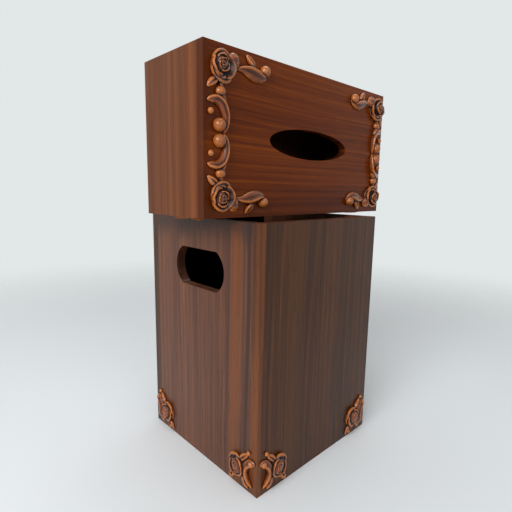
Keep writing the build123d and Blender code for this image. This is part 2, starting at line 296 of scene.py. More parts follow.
def finish_board(piece, node, body, material):
    """Smooth rounded edges beside flat faces, then the board's place in the frame."""
    mesh = piece.data
    mark_wear_sheen_and_shade(mesh)
    mesh.materials.clear()
    mesh.materials.append(material)
    mesh.shade_smooth()
    mesh.set_sharp_from_angle(angle=math.radians(40))
    shading = piece.modifiers.new("flats", "WEIGHTED_NORMAL")
    shading.keep_sharp = True
    plain_copy(piece)
    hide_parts(node)
    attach(piece, body)
    return piece


def hand_hole_outline():
    """The hole's corners and bowed ends as (y, z), anticlockwise from its lower right corner."""
    corner_y = hole_half_length - hole_bulge
    radius = (hole_half_height**2 + hole_bulge**2) / (2 * hole_bulge)
    centre = hole_half_length - radius
    swing = math.asin(hole_half_height / radius)
    end = []
    for step in range(arc_steps + 1):
        angle = swing * (2 * step / arc_steps - 1)
        end.append((centre + radius * math.cos(angle), radius * math.sin(angle)))
    end[0] = (corner_y, -hole_half_height)
    end[-1] = (corner_y, hole_half_height)
    return end + [(-y, -z) for y, z in end]


def holed_face(shape, corners, hole):
    """Fills the face between four corners and a hole, both anticlockwise, with four flat parts. The
    hole's first half is its right side, upwards, and its second half its left side, downwards."""
    per_end = len(hole) // 2
    right = hole[:per_end]
    left = hole[per_end:]
    shape.faces.new([corners[0], corners[1], right[0], left[-1]])
    shape.faces.new([corners[1], corners[2], *reversed(right)])
    shape.faces.new([corners[2], corners[3], left[0], right[-1]])
    shape.faces.new([corners[3], corners[0], *reversed(left)])


def joined_rings(shape, one, other):
    """Four-sided faces between two rings of equally many corners."""
    for near in range(len(one)):
        far = (near + 1) % len(one)
        shape.faces.new([one[near], one[far], other[far], other[near]])


def bin_sleeve():
    """The glued-up sleeve before rounding, with a hand hole through its left and right walls."""
    shape = bmesh.new()
    turns = ((-1, -1), (1, -1), (1, 1), (-1, 1))
    rings = {}
    for reach in (half_bin, bin_inside):
        for height in (bin_low.z, bin_high.z):
            rings[reach, height] = [shape.verts.new((reach * x, reach * y, height)) for x, y in turns]
    outline = hand_hole_outline()
    for side in range(4):
        there = (side + 1) % 4
        holes = []
        for reach in (half_bin, bin_inside):
            foot, rim = rings[reach, bin_low.z], rings[reach, bin_high.z]
            corners = [foot[side], foot[there], rim[there], rim[side]]
            if side % 2 == 0:
                shape.faces.new(corners)
                continue
            facing = 1 if side == 1 else -1
            hole = [shape.verts.new((facing * reach, facing * y, hole_middle + z)) for y, z in outline]
            holed_face(shape, corners, hole)
            holes.append(hole)
        if holes:
            joined_rings(shape, *holes)
        for height in (bin_low.z, bin_high.z):
            outer, inner = rings[half_bin, height], rings[bin_inside, height]
            shape.faces.new([outer[side], outer[there], inner[there], inner[side]])
    return shape


def on_rim(one, two):
    return min(one.z, two.z) > bin_high.z - joint_bevel


def on_foot(one, two):
    outside = max(abs(one.x), abs(one.y)) > bin_inside + joint_bevel
    return outside and max(one.z, two.z) < bin_low.z + joint_bevel


def on_upright(one, two):
    corner = min(abs(one.x), abs(one.y)) > bin_inside + joint_bevel
    return corner and (one - two).length > half_bin


def on_hole(one, two):
    beside = max(abs(one.y), abs(two.y)) < hole_half_length + joint_bevel
    level = max(abs(one.z - hole_middle), abs(two.z - hole_middle)) < hole_half_height + joint_bevel
    return beside and level


def is_inner_corner(one, two):
    return max(abs(one.x), abs(one.y)) < bin_inside + joint_bevel and (one - two).length > half_bin


sleeve = rounded_piece("sleeve", bin_sleeve(), (
    (upright_round, on_upright), (foot_round, on_foot), (hole_lip, on_hole), (0, is_inner_corner),
    (rim_round, on_rim)))


def cut_board(name, planes):
    """The share of the sleeve on the near side of each (place, outward direction), closed again."""
    shape = bmesh.new()
    shape.from_mesh(sleeve.data)
    for place, outward in planes:
        whole = [*shape.verts, *shape.edges, *shape.faces]
        bmesh.ops.bisect_plane(
            shape, geom=whole, dist=same_place, plane_co=place, plane_no=outward, clear_outer=True)
        open_edges = [edge for edge in shape.edges if edge.is_boundary]
        bmesh.ops.holes_fill(shape, edges=open_edges, sides=0)
    return new_piece(name, shape)


front_joint = ((0, -bin_inside, 0), (0, 1, 0))
back_joint = ((0, bin_inside, 0), (0, -1, 0))
side_joints = (((0, -bin_inside, 0), (0, -1, 0)), ((0, bin_inside, 0), (0, 1, 0)))
wall_cuts = {
    "front": (front_joint,),
    "back": (back_joint,),
    "left": (*side_joints, ((0, 0, 0), (1, 0, 0))),
    "right": (*side_joints, ((0, 0, 0), (-1, 0, 0))),
}
# pale rubbed wood on the rounded edges, also a painted highlight there
worn_and_sheen_edge = srgb(172, 98, 44)
# dark stain in the joints, also painted shade inside the holes
joint_stain_and_hole_shade = srgb(22, 12, 9)
front_tones = (srgb(45, 25, 13), srgb(70, 39, 19), srgb(98, 56, 26))
side_tones = (srgb(66, 39, 28), srgb(92, 55, 38), srgb(120, 75, 50))
amber = srgb(118, 65, 31)
# dark heartwood streaks, and painted shade in the band across the top of the left wall
dark_streak_and_shade = srgb(48, 32, 27)
wall_woods = {
    "front": (front_tones, (("X", -85.0, 3.0, amber), ("X", -42.0, 12.0, srgb(86, 49, 21)))),
    "back": (front_tones, (("X", 30.0, 9.0, amber),)),
    # the band across the grain at the top of the left wall is painted shade under the tissue box
    "left": (side_tones, (("Y", -55.0, 8.0, amber), ("Y", -72.0, 3.0, dark_streak_and_shade), ("Z", 276.0, 22.0, dark_streak_and_shade))),
    "right": (side_tones, (("Y", 20.0, 8.0, amber), ("Y", -30.0, 5.0, dark_streak_and_shade))),
}
for order, (wall, (tones, streaks)) in enumerate(wall_woods.items()):
    wood = rosewood(f"rosewood_bin_{wall}", "Z", 3.7 * order + 1.3, tones, streaks)
    finish_board(cut_board(f"bin_{wall}_board", wall_cuts[wall]), f"bin_{wall}_wall", "bin", wood)
bpy.data.objects.remove(sleeve)

# ---------------------------------------------------------------- the waste bin's base board
# A plain square board of the same wood, glued in flush with the bottom of the walls. It keeps its CAD
# shape, and its grain runs front to back.

base_tones = (srgb(44, 24, 17), srgb(66, 36, 24), srgb(88, 50, 32))
base_wood = rosewood("rosewood_bin_base", "Y", 19.1, base_tones)
base_board = frame["nodes"]["bin_base_board"]
base_board.data.materials.clear()
base_board.data.materials.append(base_wood)

# ---------------------------------------------------------------- the tissue box's boards
# Five boards glued into a tray that lies on its long side: the slot board is laid over the front of
# the four walls. A groove in three walls takes the sliding base panel. The slot board has soft
# rounded edges all round its face and an oval slot with eased lips; its grain runs lengthways.

slot_low, slot_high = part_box("slot_board")
end_low, end_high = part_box("box_left_end")
lower_low, lower_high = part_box("box_lower_side")
upper_low, upper_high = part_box("box_upper_side")
panel_low, panel_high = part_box("box_base_panel")
face_round = 4.5 * mm
corner_round = 2.2 * mm
base_rim_round = 1.2 * mm
slot_lip = 1.6 * mm
panel_play = 0.3 * mm
groove_depth = 4.0 * mm
slot_half_length = 58.0 * mm
slot_half_width = 14.0 * mm
oval_steps = 64
groove_low = panel_low.y - panel_play
groove_high = panel_high.y + panel_play
outside_x = (slot_low.x, slot_high.x)
outside_z = (slot_low.z, slot_high.z)


def block_shape(low, high):
    """A plain block's shape without faces, and the corners of its six faces by name."""
    shape = bmesh.new()
    corners = {}
    for key in ((x, y, z) for x in (0, 1) for y in (0, 1) for z in (0, 1)):
        place = [high[axis] if share else low[axis] for axis, share in enumerate(key)]
        corners[key] = shape.verts.new(place)
    keys = {
        "left": ((0, 1, 0), (0, 0, 0), (0, 0, 1), (0, 1, 1)),
        "right": ((1, 0, 0), (1, 1, 0), (1, 1, 1), (1, 0, 1)),
        "front": ((0, 0, 0), (1, 0, 0), (1, 0, 1), (0, 0, 1)),
        "back": ((1, 1, 0), (0, 1, 0), (0, 1, 1), (1, 1, 1)),
        "under": ((0, 0, 0), (0, 1, 0), (1, 1, 0), (1, 0, 0)),
        "top": ((0, 0, 1), (1, 0, 1), (1, 1, 1), (0, 1, 1)),
    }
    return shape, {side: [corners[key] for key in four] for side, four in keys.items()}


def filled(shape, faces):
    """The block with the rest of its faces."""
    for corners in faces.values():
        shape.faces.new(corners)
    return shape


def slot_board_shape():
    shape, faces = block_shape(slot_low, slot_high)
    middle = (slot_low + slot_high) / 2
    rings = []
    for side, facing in (("front", 1), ("back", -1)):
        ring = []
        for step in range(oval_steps):
            angle = 2 * math.pi * (step + 0.5) / oval_steps - math.pi / 2
            x = middle.x + facing * slot_half_length * math.cos(angle)
            z = middle.z + slot_half_width * math.sin(angle)
            ring.append(shape.verts.new((x, faces[side][0].co.y, z)))
        holed_face(shape, faces.pop(side), ring)
        rings.append(ring)
    joined_rings(shape, rings[0], rings[1][::-1])
    return filled(shape, faces)


def left_end_shape():
    """The left wall, with a blind groove for the panel's end on its inner face."""
    shape, faces = block_shape(end_low, end_high)
    groove_foot = lower_high.z - groove_depth
    groove_top = upper_low.z + groove_depth
    corners = (
        (groove_high, groove_foot), (groove_high, groove_top),
        (groove_low, groove_top), (groove_low, groove_foot))
    mouth = [shape.verts.new((end_high.x, y, z)) for y, z in corners]
    bottom = [shape.verts.new((end_high.x - groove_depth, y, z)) for y, z in corners]
    holed_face(shape, faces.pop("right"), mouth)
    joined_rings(shape, mouth, bottom)
    shape.faces.new(bottom)
    return filled(shape, faces)


def long_side_shape(low, high, inner, outer):
    """A long wall: its outline across, with the panel's groove on its inner face, carried lengthways."""
    into = groove_depth if outer > inner else -groove_depth
    outline = (
        (low.y, outer), (high.y, outer), (high.y, inner), (groove_high, inner),
        (groove_high, inner + into), (groove_low, inner + into), (groove_low, inner), (low.y, inner))
    shape = bmesh.new()
    ends = [[shape.verts.new((x, y, z)) for y, z in outline] for x in (low.x, high.x)]
    joined_rings(shape, *ends)
    for ring in ends:
        shape.faces.new(ring)
    return shape


def right_end_shape():
    return filled(*block_shape(*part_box("box_right_end")))


def both_at(places, one, two):
    """True if both ends share one of these places."""
    return any(abs(one - place) < joint_bevel and abs(two - place) < joint_bevel for place in places)


def outside_edge(one, two):
    return both_at(outside_x, one.x, two.x) or both_at(outside_z, one.z, two.z)


def on_face_loop(one, two):
    return both_at((slot_low.y,), one.y, two.y) and outside_edge(one, two)


def on_box_corner(one, two):
    return both_at(outside_x, one.x, two.x) and both_at(outside_z, one.z, two.z)


def on_base_rim(one, two):
    return both_at((end_high.y,), one.y, two.y) and outside_edge(one, two)


def on_slot_lip(one, two):
    middle = (slot_low + slot_high) / 2
    reach = max(abs(place.x - middle.x) for place in (one, two))
    rise = max(abs(place.z - middle.z) for place in (one, two))
    return reach < slot_half_length + joint_bevel and rise < slot_half_width + joint_bevel


box_tones = (srgb(79, 30, 3), srgb(103, 42, 4), srgb(129, 60, 9))
end_tones = (srgb(85, 43, 21), srgb(102, 56, 29), srgb(119, 69, 39))
box_rounds = ((corner_round, on_box_corner), (base_rim_round, on_base_rim), (face_round, on_face_loop))
lower_side = long_side_shape(lower_low, lower_high, lower_high.z, lower_low.z)
upper_side = long_side_shape(upper_low, upper_high, upper_low.z, upper_high.z)
box_boards = {
    "slot_board": (slot_board_shape(), "X", box_tones, (("X", -110.0, 16.0, srgb(69, 28, 3)),)),
    "box_left_end": (left_end_shape(), "Z", end_tones, (("Y", -46.0, 6.0, srgb(129, 71, 35)),)),
    "box_lower_side": (lower_side, "X", box_tones, ()),
    "box_upper_side": (upper_side, "X", box_tones, ()),
    "box_right_end": (right_end_shape(), "Z", end_tones, ()),
}
for order, (node, (shape, along, tones, streaks)) in enumerate(box_boards.items()):
    rounds = (*box_rounds, (slot_lip, on_slot_lip)) if node == "slot_board" else box_rounds
    wood = rosewood(f"rosewood_{node}", along, 5.3 * order + 30.7, tones, streaks, gloss=0.1)
    finish_board(rounded_piece(f"{node}_piece", shape, rounds), node, "tissue_box", wood)

# ---------------------------------------------------------------- the tissue box's base panel
# A thin plain board that slides out over the low right wall to put the tissues in. It is stained
# but only thinly varnished, and its grain runs lengthways.

panel_tones = (srgb(82, 48, 30), srgb(110, 68, 42), srgb(136, 90, 58))
panel_wood = rosewood("stained_base_panel", "X", 61.9, panel_tones)
base_panel = frame["nodes"]["box_base_panel"]
base_panel.data.materials.clear()
base_panel.data.materials.append(panel_wood)

# ---------------------------------------------------------------- the slot face's four corner ornaments
# Each is one piece of wood carved in relief, 9 mm high, and glued to the slot board: a large rose in the
# corner and a scroll along each side, which ends in a bead held in a crescent. Stain stays in the hollows
# and is wiped off the ridges, the creases and the foot are darkened further as painted shade, and the
# lacquer over it is thick and glossy.

carving_facet = 0.42 * mm       # the finest facet left in the carving
bedding = 0.9 * mm              # how far a carving reaches into its board
section_steps = 22
hollow_steps = (5, 14, 40)      # rounds of smoothing after which a fine, a middling and a wide hollow tell
foot_shade_height = 1.3 * mm            # how high the painted shade stands round a carving's foot
petal_spread = math.radians(150)
petal_turn = math.radians(127)  # from each petal to the next
petal_steps = 18
petal_section = (
    (0.30, 0.0), (0.38, 0.46), (0.58, 0.62), (0.78, 0.84),
    (0.90, 1.0), (1.0, 0.92), (1.01, 0.6), (0.92, 0.0))


def node_with(tree, kind, settings=(), **inputs):
    """A node with its settings, and each named input given a number or another node's output."""
    node = tree.nodes.new(kind)
    for setting, value in settings:
        setattr(node, setting, value)
    for label, value in inputs.items():
        socket = node.inputs[label.replace("_", " ")]
        if isinstance(value, bpy.types.NodeSocket):
            tree.links.new(value, socket)
        else:
            socket.default_value = value
    return node


def vector_node(tree, operation, one, other=None, scale=None):
    """One sum on vectors; each value is a tuple or another node's output."""
    node = node_with(tree, "ShaderNodeVectorMath", (("operation", operation),))
    for socket, value in zip((node.inputs[0], node.inputs[1], node.inputs[3]), (one, other, scale)):
        if isinstance(value, tuple):
            socket.default_value = value
        elif value is not None:
            tree.links.new(value, socket)
    return node.outputs[0]


def geometry_tree(name, inputs):
    tree = bpy.data.node_groups.new(name, "GeometryNodeTree")
    tree.interface.new_socket(name="Geometry", in_out="OUTPUT", socket_type="NodeSocketGeometry")
    tree.interface.new_socket(name="Geometry", in_out="INPUT", socket_type="NodeSocketGeometry")
    for label, kind in inputs:
        tree.interface.new_socket(name=label, in_out="INPUT", socket_type="NodeSocket" + kind)
    return tree, tree.nodes.new("NodeGroupInput").outputs


def finish_tree(tree, geometry, material):
    """Ends a tree in Realize Instances and Set Material."""
    real = node_with(tree, "GeometryNodeRealizeInstances", Geometry=geometry)
    painted = node_with(tree, "GeometryNodeSetMaterial", Geometry=real.outputs[0], Material=material)
    end = tree.nodes.new("NodeGroupOutput")
    tree.links.new(painted.outputs[0], end.inputs["Geometry"])


def kept(tree, geometry, **fields):
    """The geometry with these fields kept on its points, and the kept fields."""
    node = tree.nodes.new("GeometryNodeCaptureAttribute")
    tree.links.new(geometry, node.inputs[0])
    for label, (kind, field) in fields.items():
        node.capture_items.new(kind, label)
        tree.links.new(field, node.inputs[label])
    return node.outputs


def scroll_tree():
    """Sweeps a carved section along every drawn line; the lines' points hold its sizes and cut."""
    tree, given = geometry_tree("carved_scroll", (
        ("Facet", "Float"), ("Section Steps", "Int"), ("Bedding", "Float"), ("Wood", "Material")))
    line = node_with(tree, "GeometryNodeMeshToCurve", Mesh=given["Geometry"])
    smooth = (("spline_type", "CATMULL_ROM"),)
    line = node_with(tree, "GeometryNodeCurveSplineType", smooth, Curve=line.outputs[0])
    by_length = (("mode", "LENGTH"),)
    line = node_with(
        tree, "GeometryNodeResampleCurve", by_length, Curve=line.outputs[0], Length=given["Facet"])
    place = node_with(tree, "GeometryNodeInputPosition").outputs[0]
    tangent = node_with(tree, "GeometryNodeInputTangent").outputs[0]
    side = vector_node(tree, "CROSS_PRODUCT", tangent, (0, 0, 1))
    share = node_with(tree, "GeometryNodeSplineParameter").outputs["Factor"]
    line = kept(
        tree, line.outputs[0], place=("VECTOR", place), side=("VECTOR", side), share=("FLOAT", share))
    section = node_with(
        tree, "GeometryNodeCurvePrimitiveCircle", Resolution=given["Section Steps"], Radius=1.0)
    section = kept(tree, section.outputs[0], turn=("VECTOR", place))
    swept = node_with(
        tree, "GeometryNodeCurveToMesh", Curve=line["Geometry"], Profile_Curve=section["Geometry"],
        Fill_Caps=True)
    turn = node_with(tree, "ShaderNodeSeparateXYZ", Vector=section["turn"]).outputs
    cut = {}
    for label in ("half_width", "height", "lift", "hollow", "crease", "lean", "flutes", "blunt"):
        cut[label] = node_with(tree, "GeometryNodeInputNamedAttribute", Name=label).outputs["Attribute"]
    # each line tapers to its two ends
    from_middle = math_node(tree, "ABSOLUTE", math_node(tree, "MULTIPLY_ADD", line["share"], 2.0, -1.0))
    taper = math_node(tree, "SUBTRACT", 1.0, math_node(tree, "POWER", from_middle, cut["blunt"]))
    taper = math_node(tree, "SQRT", math_node(tree, "MAXIMUM", taper, 0.0))
    # the section: a dome with a hollow or a fine crease down it, leaning to one side, and fluted
    dome = math_node(tree, "POWER", math_node(tree, "MAXIMUM", turn["Y"], 0.0), 0.6)
    level = math_node(tree, "SUBTRACT", 1.0, math_node(tree, "MULTIPLY", turn["X"], turn["X"]))
    dip = math_node(tree, "POWER", math_node(tree, "MAXIMUM", level, 0.0), cut["crease"])
    top = math_node(tree, "SUBTRACT", dome, math_node(tree, "MULTIPLY", dip, cut["hollow"]))
    phase = math_node(tree, "MULTIPLY", math_node(tree, "MULTIPLY", turn["X"], math.pi), cut["flutes"])
    wave = math_node(tree, "COSINE", phase)
    ripple = math_node(tree, "MULTIPLY", math_node(tree, "GREATER_THAN", cut["flutes"], 0.5), 0.07)
    top = math_node(tree, "MULTIPLY_ADD", math_node(tree, "MULTIPLY", wave, dome), ripple, top)
    leaning = math_node(tree, "MULTIPLY", math_node(tree, "MULTIPLY", turn["X"], dome), cut["lean"])
    top = math_node(tree, "MULTIPLY", math_node(tree, "ADD", top, leaning), taper)
    rise = math_node(tree, "SUBTRACT", cut["height"], cut["lift"])
    top = math_node(tree, "MULTIPLY_ADD", top, rise, cut["lift"])
    under = math_node(tree, "LESS_THAN", turn["Y"], -0.01)
    fall = math_node(tree, "MULTIPLY", under, math_node(tree, "ADD", top, given["Bedding"]))
    level = node_with(tree, "ShaderNodeCombineXYZ", Z=math_node(tree, "SUBTRACT", top, fall))
    reach = math_node(tree, "MULTIPLY", math_node(tree, "MULTIPLY", cut["half_width"], taper), turn["X"])
    spot = vector_node(tree, "ADD", line["place"], vector_node(tree, "SCALE", line["side"], scale=reach))
    raised = vector_node(tree, "ADD", spot, level.outputs[0])
    shaped = node_with(tree, "GeometryNodeSetPosition", Geometry=swept.outputs[0], Position=raised)
    finish_tree(tree, shaped.outputs[0], given["Wood"])
    return tree


def rose_tree():
    """Sets copies of one petal in a spiral that tightens, rises and drifts towards the bud."""
    tree, given = geometry_tree("petals_round_bud", (
        ("Petals", "Int"), ("Radius", "Float"), ("Bud Radius", "Float"), ("Low", "Float"), ("High", "Float"),
        ("Turn", "Float"), ("First Turn", "Float"), ("Drift", "Vector"), ("Seed", "Int"),
        ("Wood", "Material")))
    points = node_with(tree, "GeometryNodeMeshLine", Count=given["Petals"]).outputs[0]
    index = node_with(tree, "GeometryNodeInputIndex").outputs[0]
    share = math_node(tree, "DIVIDE", index, math_node(tree, "SUBTRACT", given["Petals"], 1.0))
    tight = math_node(tree, "POWER", share, 0.85)
    span = math_node(tree, "SUBTRACT", given["Bud Radius"], given["Radius"])
    size = math_node(tree, "MULTIPLY_ADD", tight, span, given["Radius"])
    climb = math_node(tree, "SUBTRACT", given["High"], given["Low"])
    height = math_node(tree, "MULTIPLY_ADD", share, climb, given["Low"])
    change = node_with(tree, "FunctionNodeRandomValue", (("data_type", "FLOAT"),), Seed=given["Seed"])
    change.inputs[2].default_value = 0.94
    change.inputs[3].default_value = 1.06
    size = math_node(tree, "MULTIPLY", size, change.outputs[1])
    angle = math_node(tree, "MULTIPLY_ADD", index, given["Turn"], given["First Turn"])
    drift = vector_node(tree, "SCALE", given["Drift"], scale=tight)
    points = node_with(tree, "GeometryNodeSetPosition", Geometry=points, Position=drift).outputs[0]
    turned = node_with(tree, "ShaderNodeCombineXYZ", Z=angle)
    turned = node_with(tree, "FunctionNodeEulerToRotation", Euler=turned.outputs[0])
    scale = node_with(tree, "ShaderNodeCombineXYZ", X=size, Y=size, Z=height)
    petals = node_with(
        tree, "GeometryNodeInstanceOnPoints", Points=points, Instance=given["Geometry"],
        Rotation=turned.outputs[0], Scale=scale.outputs[0])
    finish_tree(tree, petals.outputs[0], given["Wood"])
    return tree


def run_tree(piece, tree, **values):
    modifier = piece.modifiers.new(tree.name, "NODES")
    modifier.node_group = tree
    for item in tree.interface.items_tree:
        label = item.name.replace(" ", "_")
        if item.in_out == "INPUT" and label in values:
            modifier[item.identifier] = values[label]
    return plain_copy(piece)


def stained_and_shaded_carving():
    """Dark brown in the hollows, from stain and painted shade, golden brown on the ridges, under glossy
    lacquer.
    """
    made, tree, shader = new_material(
        "carved_rosewood", Coat_Roughness=0.05, Specular_IOR_Level=0.1)
    coords = node_with(tree, "ShaderNodeTexCoord").outputs["Object"]
    depth = node_with(tree, "ShaderNodeAttribute", (("attribute_name", "hollow"),)).outputs["Fac"]
    patchy = noise_at(tree, scaled_point(tree, coords, (120, 120, 120)), 3.0, 0.6)
    fibre = noise_at(tree, scaled_point(tree, coords, (250, 900, 900)), 3.0, 0.6)
    tone = math_node(tree, "MULTIPLY_ADD", patchy, 0.3, depth)
    tone = math_node(tree, "MULTIPLY_ADD", fibre, 0.2, math_node(tree, "SUBTRACT", tone, 0.25))
    # the darkest stops are stain in the hollows and painted shade in the creases and at the foot
    stops = (
        (0.02, srgb(178, 102, 42)), (0.2, srgb(132, 66, 26)),
        (0.42, srgb(78, 34, 13)), (0.66, srgb(26, 10, 6)))
    tree.links.new(colour_ramp(tree, tone, stops), shader.inputs["Base Color"])
    tree.links.new(between(tree, patchy, 0.3, 0.7, 0.2, 0.32), shader.inputs["Roughness"])
    # the lacquer is thick on the ridges and dull in the hollows
    tree.links.new(between(tree, depth, 0.35, 0.7, 0.65, 0.04), shader.inputs["Coat Weight"])
    bump = node_with(tree, "ShaderNodeBump", Strength=0.25, Distance=0.12 * mm, Height=fibre)
    tree.links.new(bump.outputs[0], shader.inputs["Normal"])
    return made


carved_wood = stained_and_shaded_carving()
scrolls = scroll_tree()
roses = rose_tree()
plain_cut = {"lift": 0.0, "hollow": 0.0, "crease": 1.6, "lean": 0.0, "flutes": 0.0, "blunt": 5.0}
scroll_cut = {**plain_cut, "hollow": 0.16, "crease": 5.0, "lean": 0.4, "blunt": 4.0}
leaf_cut = {**plain_cut, "hollow": 0.2, "crease": 9.0, "lean": 0.15, "blunt": 2.6}
shell_cut = {**plain_cut, "hollow": 0.08, "flutes": 4.0, "blunt": 3.2}


def drawn_lines(*lines):
    """One swept shape from lines, each a cut and its points (x, y, half width, height) in mm."""
    shape = bmesh.new()
    layers = {label: shape.verts.layers.float.new(label) for label in (*plain_cut, "half_width", "height")}
    for cut, points in lines:
        before = None
        for x, y, half_width, height in points:
            vertex = shape.verts.new((x * mm, y * mm, 0))
            for label, value in cut.items():
                vertex[layers[label]] = value * mm if label == "lift" else value
            vertex[layers["half_width"]] = half_width * mm
            vertex[layers["height"]] = height * mm
            if before:
                shape.edges.new((before, vertex))
            before = vertex
    return run_tree(
        new_piece("lines", shape), scrolls, Facet=1.6 * carving_facet, Section_Steps=section_steps,
        Bedding=bedding, Wood=carved_wood)


def petal():
    """One cupped petal with a rolled rim, of radius 1 and height 1, thinning to its two sides."""
    shape = bmesh.new()
    rings = []
    for step in range(petal_steps + 1):
        aside = 2 * step / petal_steps - 1
        angle = aside * petal_spread / 2
        reach = 1 - 0.16 * aside**2
        rise = 1 - 0.42 * aside**2 + 0.05 * math.cos(3 * math.pi * aside)
        ring = []
        for radius, height in petal_section:
            low = height > 0
            level = height * rise if low else -0.15
            away = radius * reach
            ring.append(shape.verts.new((away * math.cos(angle), away * math.sin(angle), level)))
        rings.append(ring)
    for one, other in zip(rings, rings[1:]):
        joined_rings(shape, one, other)
    shape.faces.new(rings[0])
    shape.faces.new(rings[-1])
    return new_piece("petal", shape)


def wound_petals(count, radius, last, low, high, first_turn, place=(0, 0), wide=1.0, tall=1.0):
    """Petals wound inwards from one radius to the last, rising as they go, round a place."""
    bloom = run_tree(
        petal(), roses, Petals=count, Radius=radius * mm, Bud_Radius=last * mm, Low=low * mm,
        High=high * mm, Turn=petal_turn, First_Turn=math.radians(first_turn),
        Drift=(-0.1 * radius * mm, 0.0, 0.0), Seed=4, Wood=carved_wood)
    placed = Matrix.Translation((place[0] * mm, place[1] * mm, 0))
    bloom.data.transform(placed @ Matrix.Diagonal((wide, tall, 1, 1)))
    return bloom


def ball(x, y, radius, height, middle=0.45):
    """A bead or the round ground under a rose, flattened to its height and let into the board."""
    shape = bmesh.new()
    bmesh.ops.create_uvsphere(shape, u_segments=28, v_segments=18, radius=radius * mm)
    squash = height / (radius * (1 + middle))
    for vertex in shape.verts:
        z = (vertex.co.z + middle * radius * mm) * squash
        vertex.co = (vertex.co.x + x * mm, vertex.co.y + y * mm, max(z, -bedding))
    return new_piece("ball", shape)


def mark_hollows(mesh):
    """Gives each point a hollow from 0 on ridges to 1 in creases and beside the board."""
    count = len(mesh.vertices)
    places = np.empty(count * 3)
    mesh.vertices.foreach_get("co", places)
    places = places.reshape(-1, 3)
    normals = np.empty(count * 3)
    mesh.vertices.foreach_get("normal", normals)
    normals = normals.reshape(-1, 3)
    pairs = np.empty(len(mesh.edges) * 2, int)
    mesh.edges.foreach_get("vertices", pairs)
    one, other = pairs.reshape(-1, 2).T
    neighbours = np.bincount(pairs, minlength=count)
    smooth = places
    total = np.zeros(count)
    for step in range(1, hollow_steps[-1] + 1):
        sums = []
        for axis in range(3):
            ahead = np.bincount(one, smooth[other, axis], count)
            sums.append(ahead + np.bincount(other, smooth[one, axis], count))
        smooth = np.stack(sums, 1) / neighbours[:, None]
        if step in hollow_steps:
            lift = ((smooth - places) * normals).sum(1)
            total += lift / (0.03 * mm * step**0.75)
    hollow = 0.42 + 0.5 * np.tanh(total * 0.36)
    # beside the board the carving is marked dark, as painted shade at its foot
    near_board = np.clip(1 - places[:, 2] / foot_shade_height, 0, 1)
    hollow = np.clip(np.maximum(hollow, near_board), 0, 1)
    mesh.attributes.new("hollow", "FLOAT", "POINT").data.foreach_set("value", hollow)


def carve(name, parts):
    """One carving from overlapping parts: joined, cut as one surface and smoothed a little."""
    shape = bmesh.new()
    for part in parts:
        shape.from_mesh(part.data)
        bpy.data.objects.remove(part)
    piece = new_piece(name, shape)
    cut = piece.modifiers.new("cut", "REMESH")
    cut.mode = "VOXEL"
    cut.voxel_size = carving_facet
    polish = piece.modifiers.new("polish", "SMOOTH")
    polish.factor = 0.5
    polish.iterations = 2
    plain_copy(piece)
    mark_hollows(piece.data)
    piece.data.materials.clear()
    piece.data.materials.append(carved_wood)
    piece.data.shade_smooth()
    return piece


def set_carving(master, node, body, turn):
    """A copy of a carving, placed or mirrored by a matrix, that stands for its CAD node."""
    shape = bmesh.new()
    shape.from_mesh(master.data)
    bmesh.ops.transform(shape, matrix=turn, verts=shape.verts)
    bmesh.ops.remove_doubles(shape, verts=shape.verts, dist=same_place)
    piece = new_piece(f"carved_{node}", shape)
    piece.data.materials.append(carved_wood)
    piece.data.shade_smooth()
    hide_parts(node)
    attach(piece, body)


slot_rose_inset = (18.7, 17.0)
slot_corner = carve("slot_corner", [
    wound_petals(4, 13.2, 11.2, 4.8, 5.6, 112, (-1.0, -0.2)),
    wound_petals(6, 9.4, 2.4, 6.8, 9.2, 150, (-3.6, -0.8)),
    ball(-0.6, 0, 12.0, 3.6, 0.1),
    ball(-4.2, -0.9, 8.0, 7.5, 0.1),
    drawn_lines(
        # the scroll across the width: a stalk with a round bud, then a crescent round a bead
        (plain_cut, (
            (-2.5, 10, 1.8, 3.6), (-3.2, 15, 2.2, 4.0), (-2.6, 21, 2.4, 4.6), (-0.8, 26, 2.4, 5.0),
            (0.8, 31, 2.0, 4.8))),
        (scroll_cut, (
            (-16.0, 27.0, 2.4, 3.2), (-12.4, 25.6, 3.4, 4.6), (-7.4, 25.4, 3.5, 5.2), (-2.4, 28.4, 3.3, 5.6),
            (0.8, 34.2, 2.8, 5.4), (1.8, 40.2, 2.4, 5.0), (1.7, 46.2, 1.9, 4.2), (0.2, 50.8, 1.1, 2.8))),
        # the scroll along the length: a stalk that swells to a crescent under its bead
        (scroll_cut, (
            (12.5, -0.6, 1.6, 3.0), (19, -1.6, 2.8, 4.0), (26.5, -0.8, 4.8, 5.2), (33.5, 1.0, 5.0, 6.0),
            (39.5, 1.8, 3.8, 5.4), (44.8, 0.8, 2.4, 4.4), (49.0, -2.4, 1.2, 2.8))),
        # leaves: towards the edge from the long scroll, and two beside the rose
        (leaf_cut, (
            (31.5, -3, 2.4, 4.8), (29.5, -7.5, 3.2, 4.6), (26.5, -11, 2.8, 3.6), (23.2, -14, 1.4, 2.4))),
        (shell_cut, (
            (4, -5.6, 5.0, 5.2), (9, -6.0, 5.8, 5.0), (13.4, -6.6, 5.2, 4.4), (16.4, -7.2, 4.0, 3.4))),
        (leaf_cut, (
            (-6, 9, 2.6, 4.6), (-9.6, 11.6, 3.2, 4.4), (-13, 14.4, 2.8, 3.6), (-16, 17.4, 1.4, 2.4))),
    ),
    ball(-3.4, 19.0, 4.4, 5.4),
    ball(-12.6, 34.2, 2.6, 3.9),
    ball(-4.9, 44.0, 5.3, 7.7),
    ball(43.9, -4.4, 4.8, 7.0),
])
box_middle = (slot_low + slot_high) / 2
inset_x, inset_z = slot_rose_inset
